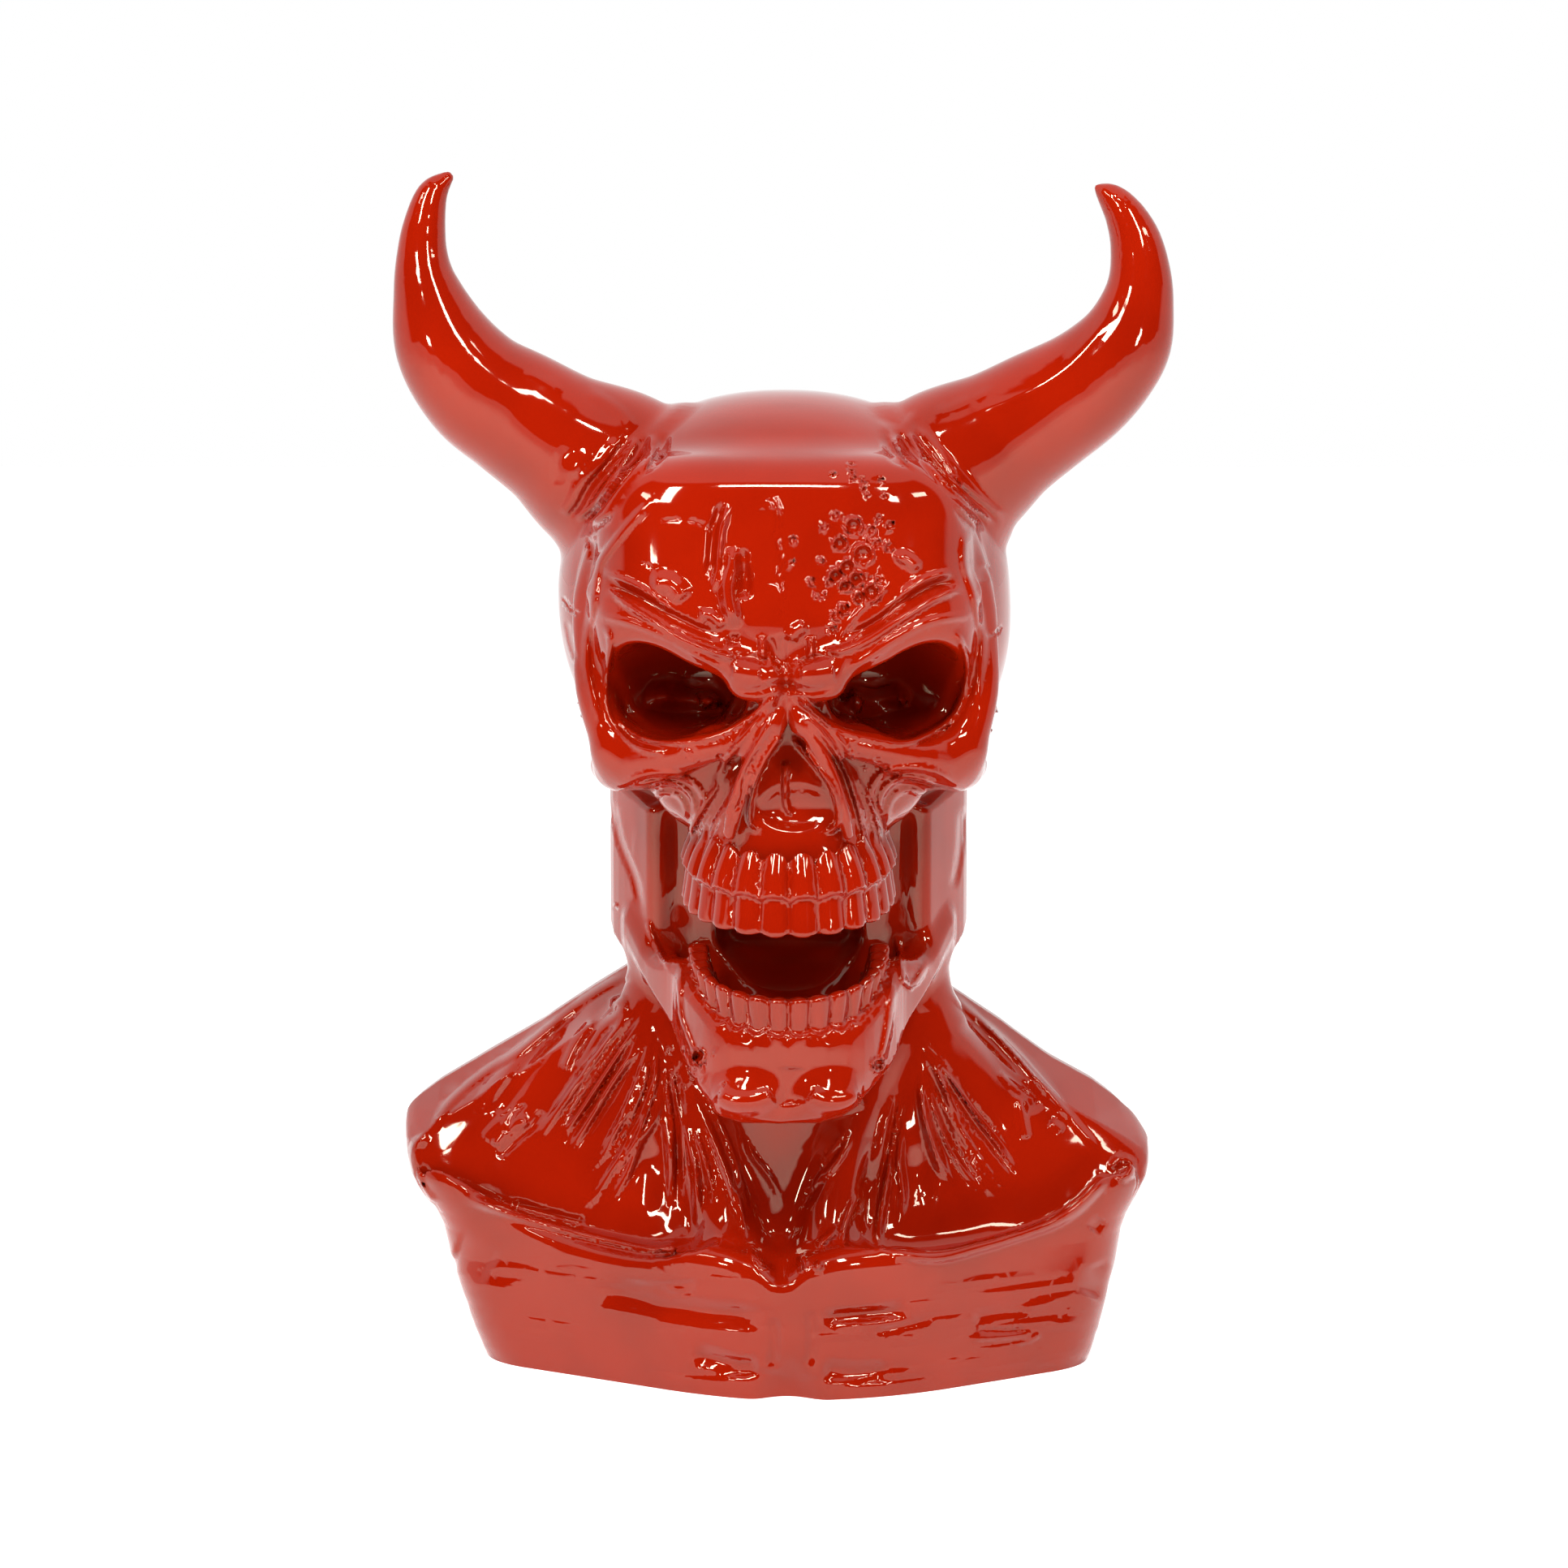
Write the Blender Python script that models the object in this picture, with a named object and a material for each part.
"""Devil bust: a horned skull with open jaws on a cut-off chest, cast in one piece of resin.

The bust is carved as a field of distances, the way a sculptor builds up clay: lumps, strands
and walls are added with a soft blend, and hollows are cut out of them. The field's zero
surface is then turned into one closed mesh with a flat foot.

The face looks along -Y, +Z is up, and the origin is on the foot, under the crown of the head.
"""
import bmesh
import bpy
import numpy as np
import openvdb

# Driving dimensions in metres
HEIGHT = 0.400
HORN_SPREAD = 0.2575
HORN_THICKNESS = 0.0475
SHOULDER_WIDTH = 0.257
CHEST_DEPTH = 0.130
JAW_GAPE = 0.0195

# The carving is given in millimetres of a bust this high, and STROKE turns them into metres
MODEL_HEIGHT = 400.0
STROKE = HEIGHT / MODEL_HEIGHT

# The sizes above as shares of what they are in the carving
SPREAD_SHARE = HORN_SPREAD / STROKE / 257.5
HORN_SHARE = HORN_THICKNESS / STROKE / 47.5
WIDTH_SHARE = SHOULDER_WIDTH / STROKE / 257.0
DEPTH_SHARE = CHEST_DEPTH / STROKE / 130.0
GAPE = JAW_GAPE / STROKE

# How finely the field is sampled, and how many triangles the finished surface keeps
GRID = 3.0
TRIANGLES = 9300

# Colour of the lacquer
RED = (0.275, 0.0072, 0.0005, 1.0)
ROUGHNESS = 0.08

FAR = 1000.0
BOTH = True


def turned(degrees):
    """Rotation matrix of turns about X, then Y, then Z."""
    x, y, z = np.radians(degrees)
    about_x = np.array([[1, 0, 0], [0, np.cos(x), -np.sin(x)], [0, np.sin(x), np.cos(x)]])
    about_y = np.array([[np.cos(y), 0, np.sin(y)], [0, 1, 0], [-np.sin(y), 0, np.cos(y)]])
    about_z = np.array([[np.cos(z), -np.sin(z), 0], [np.sin(z), np.cos(z), 0], [0, 0, 1]])
    return about_z @ about_y @ about_x


def ramp(value, start, end):
    """0 before start, 1 after end, with a soft way between them."""
    t = np.clip((value - start) / (end - start), 0, 1)
    return t * t * (3 - 2 * t)


def softer(a, b, blend):
    """The larger of two distances, with the edge between them rounded."""
    near = np.maximum(blend - np.abs(a - b), 0) / max(blend, 1e-9)
    return np.maximum(a, b) + near * near * blend / 4


def smoothly(rows, spacing):
    """More rows along the smooth curve that runs through the given ones."""
    rows = np.asarray(rows, float)
    rows = np.vstack([2 * rows[0] - rows[1], rows, 2 * rows[-1] - rows[-2]])
    out = []
    for a, b, c, d in zip(rows, rows[1:], rows[2:], rows[3:]):
        count = max(1, int(np.ceil(np.linalg.norm((c - b)[:3]) / spacing)))
        t = (np.arange(count) / count)[:, None]
        bend = (2 * a - 5 * b + 4 * c - d) * t**2 + (3 * b - a - 3 * c + d) * t**3
        out.append(0.5 * (2 * b + (c - a) * t + bend))
    return np.vstack([*out, rows[-2][None]])


def along_path(points, path):
    """Nearest place on a path: its distance vectors, the segment and the share of the way along it."""
    best = np.full(len(points), FAR)
    offset = np.zeros(points.shape)
    segment = np.zeros(len(points), int)
    share = np.zeros(len(points))
    for i, (start, end) in enumerate(zip(path, path[1:])):
        step = end - start
        t = np.clip((points - start) @ step / (step @ step + 1e-12), 0, 1)
        away = points - start - t[:, None] * step
        size = np.sqrt((away * away).sum(1))
        closer = size < best
        best[closer] = size[closer]
        offset[closer] = away[closer]
        segment[closer] = i
        share[closer] = t[closer]
    return offset, segment, share


class Shape:
    """A distance function with the box that the shape fills."""

    def __init__(self, distance, low, high):
        self.distance = distance
        self.low = np.asarray(low, float)
        self.high = np.asarray(high, float)


def lump(centre, radii, turn=(0, 0, 0), power=2.0):
    """An egg, or with a higher power a squarer one."""
    centre = np.asarray(centre, float)
    radii = np.asarray(radii, float)
    matrix = turned(turn)
    reach = np.abs(matrix) @ radii

    def distance(points):
        q = np.abs((points - centre) @ matrix) / radii
        size = (q**power).sum(1) ** (1 / power)
        slope = (q ** (power - 1) / radii) / np.maximum(size, 1e-6)[:, None] ** (power - 1)
        return (size - 1) / (np.sqrt((slope * slope).sum(1)) + 1e-9)

    return Shape(distance, centre - reach, centre + reach)


def strand(rows, flat=None, spacing=6.0):
    """A round tube through rows of x, y, z and radius; flat squeezes it along a direction."""
    rows = smoothly(rows, spacing)
    path = rows[:, :3]
    radius = np.maximum(rows[:, 3], 0.05)

    def distance(points):
        best = np.full(len(points), FAR)
        for start, end, r0, r1 in zip(path, path[1:], radius, radius[1:]):
            step = end - start
            t = np.clip((points - start) @ step / (step @ step + 1e-12), 0, 1)
            away = points - start - t[:, None] * step
            if flat:
                normal = np.asarray(flat[0]) / np.linalg.norm(flat[0])
                away = away + np.outer((away @ normal) * (1 / flat[1] - 1), normal)
            size = np.sqrt((away * away).sum(1)) - (r0 + (r1 - r0) * t)
            np.minimum(best, size * (0.5 + 0.5 * flat[1]) if flat else size, out=best)
        return best

    return Shape(distance, (path - radius[:, None]).min(0), (path + radius[:, None]).max(0))


def wall(rows, rounding):
    """An upright wall along a path seen from above: rows of x, y, foot, head and half thickness."""
    rows = smoothly(rows, 6.0)
    path, foot, head, half = rows[:, :2], rows[:, 2], rows[:, 3], rows[:, 4]

    def distance(points):
        away, i, t = along_path(points[:, :2], path)
        thick = half[i] + (half[i + 1] - half[i]) * t
        low = foot[i] + (foot[i + 1] - foot[i]) * t
        high = head[i] + (head[i + 1] - head[i]) * t
        across = np.sqrt((away * away).sum(1)) - thick + rounding
        up = np.abs(points[:, 2] - (low + high) / 2) - (high - low) / 2 + rounding
        outside = np.sqrt(np.maximum(across, 0) ** 2 + np.maximum(up, 0) ** 2)
        return outside + np.minimum(np.maximum(across, up), 0) - rounding

    low = np.append((path - half[:, None]).min(0), foot.min())
    high = np.append((path + half[:, None]).max(0), head.max())
    return Shape(distance, low, high)


class Clay:
    """A field of distances, built up step by step; lean shifts it sideways with height."""

    def __init__(self, lean):
        self.steps = []
        self.lean = lean

    def add(self, shape, blend, both=False):
        """Join a shape on; with both, it is given for x > 0 and is there on both sides."""
        self.steps.append((1, shape, blend, both))

    def cut(self, shape, blend, both=False):
        """Take a shape away."""
        self.steps.append((-1, shape, blend, both))

    def near(self, points, margin):
        """Distances at points that lie close together; shapes far from all of them are passed over."""
        field = np.full(len(points), FAR)
        points = points.copy()
        points[:, 0] -= self.lean(points[:, 2])
        folded = points.copy()
        folded[:, 0] = np.abs(folded[:, 0])
        for sign, shape, blend, both in self.steps:
            place = folded if both else points
            grow = blend + margin
            if (shape.low - grow > place.max(0)).any() or (shape.high + grow < place.min(0)).any():
                continue
            # joining keeps the smaller distance: the larger of the two with their signs changed
            field = -sign * softer(-sign * field, -shape.distance(place), blend)
        return field

    def at(self, points, margin, cell=24.0):
        """Distances at any points, a neighbourhood at a time."""
        cells = np.floor(points / cell).astype(int)
        _, group = np.unique(cells, axis=0, return_inverse=True)
        order = np.argsort(group.ravel(), kind="stable")
        ends = np.flatnonzero(np.diff(group.ravel()[order])) + 1
        out = np.empty(len(points))
        for members in np.split(order, ends):
            out[members] = self.near(points[members], margin)
        return out


def sway(height):
    """How far the hand-carved bust strays sideways at each height."""
    return np.interp(height, [0, 21, 43, 60, 80, 95, 110, 215, 262], [1, 0, -0.8, -2, -2.7, -1, 1.6, 1.6, 0])


def chest():
    """The cut-off chest: bow-fronted, flared up to the shoulders, dished behind the collar bones."""
    heights = [0, 10, 21, 32, 43, 48, 54, 60, 65, 71, 82, 88, 100]
    half_widths = [103, 107, 110.5, 114, 116.6, 119, 123, 126.5, 127.5, 128.5, 127.6, 127, 126]
    slipped = ([70, 81, 90, 98, 123], [0, 3.5, 4.5, 6, 6])

    def distance(points):
        z = points[:, 2]
        side = np.tanh(points[:, 0] / 20)
        x = np.abs(points[:, 0] + np.interp(z, *slipped)) / WIDTH_SHARE
        y = points[:, 1] / DEPTH_SHARE
        half = np.interp(z, heights, half_widths)
        corner = -28 - 3 * side + 15 * ramp(z, 0, 66)
        knee = 22 + 6 * side
        prow = -77 - 1.5 * ramp(z, 0, 45)
        slope = (corner - prow) / (half - knee)
        front = prow + slope * softer(x - knee, 0 * x, 26)
        body = softer((front - y) / np.sqrt(1 + slope * slope), (x - half) * 0.94, 14)
        body = softer(body, y - (54 - 0.0012 * x * x + 0.06 * (z - 40)), 26)
        # the top drops steeply from the trapezius to a dish, then rises to the rim of the collar bones

        def top(depth):
            rim = 50 - 5 * np.exp(-((x / 13) ** 2)) + 17 * ramp(x, 72, 126)
            crest = np.interp(x, [0, 48, 61, 85, 99, 113, 124, 128], [132, 120, 112, 96, 87, 79, 71, 69])
            t = np.clip((depth - front - 3) / (-9 - front), -0.5, 1.0)
            level = rim + (crest - rim) * (0.12 * t + 0.88 * ramp(t, 0.36, 1.12) / 0.93)
            dish = 3 + 4 * ramp(x, 14, 40) * ramp(x, 118, 96)
            level = level - dish * np.exp(-(((t - 0.28) / 0.16) ** 2)) + 0.42 * np.clip(depth + 6, 0, 24)
            return level - 22 * (np.maximum(depth - 22, 0) / 34) ** 2

        steepness = top(y + 0.5) - top(y - 0.5)
        return softer(body, (z - top(y)) / np.sqrt(1.3 + steepness**2), 6)

    reach = np.array([136 * WIDTH_SHARE, 84 * DEPTH_SHARE, 152])
    return Shape(distance, -reach * [1, 1, 0.1], reach * [1, 0.8, 1])


def neck(clay):
    """Column, nape and throat."""
    clay.add(strand([(0, 14, 40, 50), (0, 12, 90, 44), (0, 8, 150, 42), (0, 10, 200, 46)]), 16)
    clay.add(strand([(0, 34, 40, 30), (0, 36, 90, 26), (0, 40, 150, 26), (0, 44, 215, 36)]), 16)
    clay.add(strand([(0, -30, 62, 13), (0, -31, 90, 15), (0, -30, 125, 20)]), 10)


def neck_muscles(clay):
    """The flat sheets of muscle that fan from under the corner of the jaw to the collar bones."""
    apex = np.array([40.0, -8.0, 122.0])
    ends = [(92, -5, 62), (79, -14, 53), (66, -22, 45), (51, -30, 39), (36, -38, 34)]
    for x, y, z in ends:
        end = np.array([x * WIDTH_SHARE, y * DEPTH_SHARE, z])
        middle = apex * 0.45 + end * 0.55 - [0, 0, 3]
        clay.add(strand([(*(apex + [-3, 2, 24]), 9), (*apex, 10), (*middle, 11), (*end, 12)]), 10, BOTH)
    front = 63 * (1 - DEPTH_SHARE)
    beside_throat = [(34, -16, 124, 9), (26, -28, 92, 9), (19, -42, 62, 9), (15, -54 + front, 42, 8)]
    clay.add(strand(beside_throat), 8, BOTH)


def skull(clay):
    """Brain case, forehead, the block of the face and the sides down to the jaw hinge."""
    clay.add(lump((0, 3, 257), (76.5, 85, 71), power=2.2), 8)
    clay.add(lump((0, -30.5, 269), (62.5, 53, 38), turn=(-9, 0, 0), power=4), 6)
    clay.add(lump((0, -47, 250), (61.5, 39.5, 20), power=3.4), 7)
    clay.add(lump((0, -38, 211), (47, 38, 31), power=2.6), 8)
    clay.add(lump((0, 10, 222), (67, 34, 36), power=2.6), 10)
    clay.add(lump((0, 2, 165), (50, 26, 52), power=3), 8)


def upper_jaw(clay):
    """A bell that flares to the gum, with the two ridges that frame the nose."""
    clay.add(lump((0, -48, 174), (31, 34, 24), power=2.5), 7)
    clay.add(lump((0, -56.5, 196), (24, 24, 18), power=2.4), 8)
    ridge = [(2, -84.5, 231, 3.8), (8, -86.5, 219, 3), (14.5, -86, 206, 2.4)]
    ridge = [*ridge, (18, -83.5, 193, 2.2), (19, -81, 188, 1.8)]
    clay.add(strand(ridge), 5, BOTH)


def cheek_bones(clay):
    """Face of the cheek bone, its arch to the ear, its ridge to the nose and the socket's outer rim."""
    clay.add(lump((46, -58, 212), (17, 12, 8.5), turn=(-14, 12, 36), power=2.6), 6, BOTH)
    clay.add(strand([(48, -58, 209, 8), (52, -38, 211, 7), (58, -12, 214, 6), (63, 10, 218, 5)]), 8, BOTH)
    to_nose = [(6, -86, 224, 4), (16, -83, 219, 4.5), (30, -78, 215, 5.5), (43, -70, 211.5, 7)]
    clay.add(strand([*to_nose, (54, -57, 207, 7.5), (59, -42, 206, 6.5)]), 6, BOTH)
    upper_rim = [(47, -54, 292, 4), (57, -48, 278, 5), (62.5, -46, 262, 6)]
    lower_rim = [(63.5, -51, 248, 6), (62.5, -56, 232, 6.5), (57, -60, 215, 7.5)]
    clay.add(strand([*upper_rim, *lower_rim]), 6, BOTH)
    # the hollow between the upper jaw and the upright branch of the lower one
    upright = [(42.5, -58, 186, 5), (43, -52, 172, 6.5), (42, -50, 156, 7), (42, -48, 142, 5)]
    clay.cut(strand(upright), 5, BOTH)
    under_cheek = [(53, -54, 192, 4), (46, -64, 195, 6.5), (38, -73, 195, 7.5), (34, -76, 186, 5)]
    clay.cut(strand(under_cheek), 5, BOTH)


def lower_jaw(clay):
    """Upright branch, body and chin; it hangs lower when the mouth gapes more."""
    drop = GAPE - 19.5
    branch = [(56.5, 18, 150, 208, 4.5), (55.5, 4, 141, 197, 4.5), (44, -20, 130 - drop, 190, 4.5)]
    clay.add(wall(branch, 2), 6, BOTH)
    body = [
        (50, -10, 141, 152, 5),
        (42, -29, 128, 141, 6),
        (33.5, -46, 117, 141, 6),
        (27.5, -61, 106, 134, 6.5),
        (15, -74, 95.5, 124, 8.5),
        (0, -77, 93.5, 123, 9),
    ]
    lowered = [(x, y, foot - drop, head - drop, half) for x, y, foot, head, half in body]
    clay.add(wall(lowered, 4), 6, BOTH)
    clay.add(lump((0, -61, 113 - drop), (27, 22, 17), power=2.8), 6)
    clay.add(lump((12, -80.5, 102.5 - drop), (10.5, 8, 7)), 5, BOTH)


def tooth_row(half_width, front, back, edge, edge_back, length, half, count, up, gum):
    """Teeth and gum on an arch: teeth bulge and are rounded at the biting edge, their roots show in the gum.

    gum is how high the gum goes on past the teeth, how far it leans in by there and how deep the roots show.
    """
    t = np.linspace(-1, 1, 41)
    arch = np.stack([half_width * np.sin(t * np.pi / 2), front + (back - front) * np.abs(t) ** 2.1], 1)
    edges = edge + (edge_back - edge) * np.abs(t) ** 1.8
    run = np.concatenate([[0], np.cumsum(np.linalg.norm(np.diff(arch, axis=0), axis=1))])
    run = 2 * run / run[-1] - 1
    rounding = 1.5
    height, lean_in, root = gum

    def distance(points):
        away, i, share = along_path(points[:, :2], arch)
        place = run[i] + (run[i + 1] - run[i]) * share
        biting = edges[i] + (edges[i + 1] - edges[i]) * share
        crown = np.abs(np.sin(np.pi * place * count / 2)) ** 0.6
        depth = (biting - points[:, 2]) * up
        # the gum line dips between the teeth
        past = depth - length - 2.2 * (crown - 0.7)
        in_gum = ramp(past, -0.7, 0.9)
        neck_in = 1.9 * np.clip(depth / length, 0, 1)
        on_tooth = half - 2.1 * (1 - crown) - neck_in
        lean = np.clip(past / height, 0, 1)
        on_gum = half + 0.3 - lean_in * (0.35 * lean + 0.65 * lean**2) - root * (1 - crown) * (1 - lean**2)
        thick = on_tooth + (on_gum - on_tooth) * in_gum
        across = np.sqrt((away * away).sum(1)) - thick + rounding
        above = -depth + 0.6 + 1.3 * (1 - crown) + rounding
        outside = np.sqrt(np.maximum(across, 0) ** 2 + np.maximum(above, 0) ** 2)
        tooth = outside + np.minimum(np.maximum(across, above), 0) - rounding
        return np.maximum(tooth, (depth - length - height) * 0.9)

    reach = half + 2
    tall = length + height + 3
    low = (-half_width - reach, front - reach, edges.min() - (tall if up > 0 else 3))
    high = (half_width + reach, back + reach, edges.max() + (tall if up < 0 else 3))
    return Shape(distance, low, high)


def mouth(clay):
    """Both rows of teeth and the open mouth between them."""
    biting = 155 - GAPE
    clay.add(tooth_row(30, -85.5, -42, 155, 162, 13, 6, 14, -1, (20, 10.5, 2.4)), 1.5)
    clay.add(tooth_row(28.5, -80.5, -40, biting, biting + 12, 12, 5.5, 18, 1, (9, 2, 1)), 1.5)
    clay.cut(lump((0, -46, 155.75 - GAPE / 2), (26.5, 34, GAPE * 0.72), turn=(14, 0, 0), power=3), 2)


def sockets_and_nose(clay):
    """Eye sockets and the pear-shaped opening of the nose."""
    clay.cut(lump((39, -66, 234.4), (17.5, 38, 16.5), turn=(0, 8, 22), power=2.2), 5, BOTH)
    clay.cut(lump((26, -74, 233.5), (13, 24, 10), turn=(0, -18, 10), power=2.4), 4, BOTH)
    for x, z, half, tall in ((1.4, 197.3, 13.6, 8), (0.9, 204, 9.8, 9), (0.4, 211.5, 5.8, 9.5)):
        clay.cut(lump((x, -90, z), (half, 11, tall), power=3), 1.5)
    clay.cut(lump((2.5, -79.5, 196), (10.5, 3.6, 5.5)), 4)


def brows(clay):
    """Heavy brows that slant down to two knots over the nose."""
    bar = [(7, -84.5, 240, 6), (18, -85, 245, 6), (34, -81, 252.5, 6), (49, -73.5, 259.5, 5.5)]
    bar = [*bar, (59, -60, 264.5, 5)]
    clay.add(strand(bar), 4, BOTH)
    clay.add(lump((10, -86, 238), (8.5, 6.5, 6), power=2.6), 4.5, BOTH)
    clay.add(lump((0.5, -80.5, 236), (5.5, 6, 8)), 4)


def ears(clay):
    """A small hole behind the hinge of the jaw on each side."""
    clay.cut(lump((71, -2, 217), (5, 2.5, 5)), 1.5, BOTH)


def horns(clay):
    """Two horns that leave the temples sideways and curve up to tips that hook in."""
    left = [
        (-42.3, -4, 292, 27.5),
        (-56.3, -7, 299, 29.5),
        (-73.1, -10, 310, 24),
        (-88.4, -11, 320, 21.7),
        (-101.7, -14, 329, 19.7),
        (-112.5, -16, 343, 16.7),
        (-118.2, -17, 360.4, 11.3),
        (-119.9, -16, 371.6, 8.7),
        (-119.3, -15, 382.3, 7.1),
        (-116.7, -14, 393, 5.1),
        (-111.7, -13, 398.6, 2.2),
    ]
    right = [
        (41.7, -4, 292, 27),
        (54.6, -7, 300.5, 28.4),
        (71.2, -10, 311.4, 23.4),
        (85.4, -11, 320.4, 21.2),
        (98.5, -13, 328.6, 19.2),
        (107.5, -15, 336.7, 17.3),
        (113.5, -16, 344.8, 15.4),
        (116.9, -17, 355.6, 12.4),
        (118.1, -17, 365.5, 10.4),
        (116.7, -16, 377, 8.6),
        (113.2, -15, 385.8, 6.7),
        (108.7, -14, 391.9, 4.6),
        (103.9, -13, 395.4, 1.3),
    ]
    root = 50.0
    for rows in (left, right):
        spread = []
        for x, y, z, radius in rows:
            beyond = max(abs(x) - root, 0) * (SPREAD_SHARE * 128.75 - root) / (128.75 - root)
            spread.append((np.sign(x) * (min(abs(x), root) + beyond), y, z, radius * HORN_SHARE))
        clay.add(strand(spread, spacing=5), 5)


def collars(clay):
    """A band of wrinkled skin where each horn leaves the skull."""
    around = np.linspace(0, 2 * np.pi, 25)
    across = np.array([-0.707, 0, 0.707])
    centre = np.array([51.5, -8, 299.5])
    ring = centre + 25.5 * (np.outer(np.cos(around), across) + 0.95 * np.outer(np.sin(around), (0, -1, 0)))
    clay.add(strand(np.column_stack([ring, 6 + 0 * around])), 4, BOTH)


def chest_hollows(clay):
    """Notch between the collar bones, the breast bone's foot and the hollows between the ribs."""
    front = -78 * DEPTH_SHARE
    basin = [(106, 57, 67, 3.5), (94, 48, 60, 5.5), (78, 40, 56, 8), (60, 31, 53, 8.5), (43, 22, 52, 8)]
    basin = [(x * WIDTH_SHARE, front + y, z, radius) for x, y, z, radius in [*basin, (29, 17, 52, 5)]]
    clay.cut(strand(basin), 5, BOTH)
    clay.cut(lump((0, front + 2, 50), (5, 12, 9)), 6)
    clay.cut(lump((0, front - 2, 0), (9, 9, 12)), 6)


def carve():
    """The whole bust."""
    clay = Clay(sway)
    clay.add(chest(), 0)
    neck(clay)
    skull(clay)
    upper_jaw(clay)
    cheek_bones(clay)
    lower_jaw(clay)
    mouth(clay)
    sockets_and_nose(clay)
    brows(clay)
    ears(clay)
    horns(clay)
    collars(clay)
    neck_muscles(clay)
    chest_hollows(clay)
    return clay


def surface(clay, step, coarse=4):
    """Quads of the zero surface: a coarse pass finds the blocks near it, a fine pass fills them."""
    low = np.min([shape.low for _, shape, _, _ in clay.steps], axis=0)
    high = np.max([shape.high for _, shape, _, _ in clay.steps], axis=0)
    low[0] = -high[0]
    low, high = low - 4 * step, high + 4 * step
    block = step * coarse
    count = np.ceil((high - low) / block).astype(int)
    centres = [low[i] + block * (np.arange(count[i]) + 0.5) for i in range(3)]
    rough = clay.at(np.stack(np.meshgrid(*centres, indexing="ij"), -1).reshape(-1, 3), 2 * block)
    rough = rough.reshape(count)
    field = np.kron(np.sign(rough) * 3 * step, np.ones((coarse,) * 3)).astype(np.float32)
    # each block near the surface is split into smaller blocks, and those into single samples
    pair = np.stack(np.meshgrid([0, 1], [0, 1], [0, 1], indexing="ij"), -1).reshape(-1, 3)
    index = np.argwhere(np.abs(rough) < 1.75 * block)
    while block > step * 1.5:
        index = (index[:, None] * 2 + pair).reshape(-1, 3)
        block = block / 2
        field_there = clay.at(low + block * (index + 0.5), 2 * block + step)
        if block > step * 1.5:
            index = index[np.abs(field_there) < 1.75 * block + step]
    field[tuple(index.T)] = np.clip(field_there, -3 * step, 3 * step)
    grid = openvdb.FloatGrid(3 * step)
    grid.copyFromArray(field)
    points, quads = grid.convertToQuads(0.0)
    return low + step * (np.asarray(points, float) + 0.5), np.asarray(quads)


def bust_mesh():
    """The carved surface in metres, cut flat at the foot and thinned to few triangles."""
    points, quads = surface(carve(), GRID)
    mesh = bpy.data.meshes.new("devil_bust")
    mesh.from_pydata((points * STROKE).tolist(), [], quads.tolist())
    shell = bmesh.new()
    shell.from_mesh(mesh)
    every = [*shell.verts, *shell.edges, *shell.faces]
    cut = bmesh.ops.bisect_plane(shell, geom=every, plane_no=(0, 0, 1), clear_inner=True)
    rim = [part for part in cut["geom_cut"] if isinstance(part, bmesh.types.BMEdge)]
    bmesh.ops.contextual_create(shell, geom=rim)
    bmesh.ops.triangulate(shell, faces=shell.faces)
    bmesh.ops.recalc_face_normals(shell, faces=shell.faces)
    shell.to_mesh(mesh)
    shell.free()
    return mesh


def lacquer():
    """Glossy red lacquer."""
    material = bpy.data.materials.new("red_lacquer")
    material.use_nodes = True
    shader = material.node_tree.nodes["Principled BSDF"]
    shader.inputs["Base Color"].default_value = RED
    shader.inputs["Roughness"].default_value = ROUGHNESS
    shader.inputs["Metallic"].default_value = 0.0
    return material


def build():
    """Clear the scene and place the bust on the ground."""
    for old in list(bpy.data.objects):
        bpy.data.objects.remove(old)
    mesh = bust_mesh()
    mesh.materials.append(lacquer())
    bust = bpy.data.objects.new("devil_bust", mesh)
    bpy.context.scene.collection.objects.link(bust)
    thin = bust.modifiers.new("thin", "DECIMATE")
    thin.ratio = TRIANGLES / len(mesh.polygons)


build()
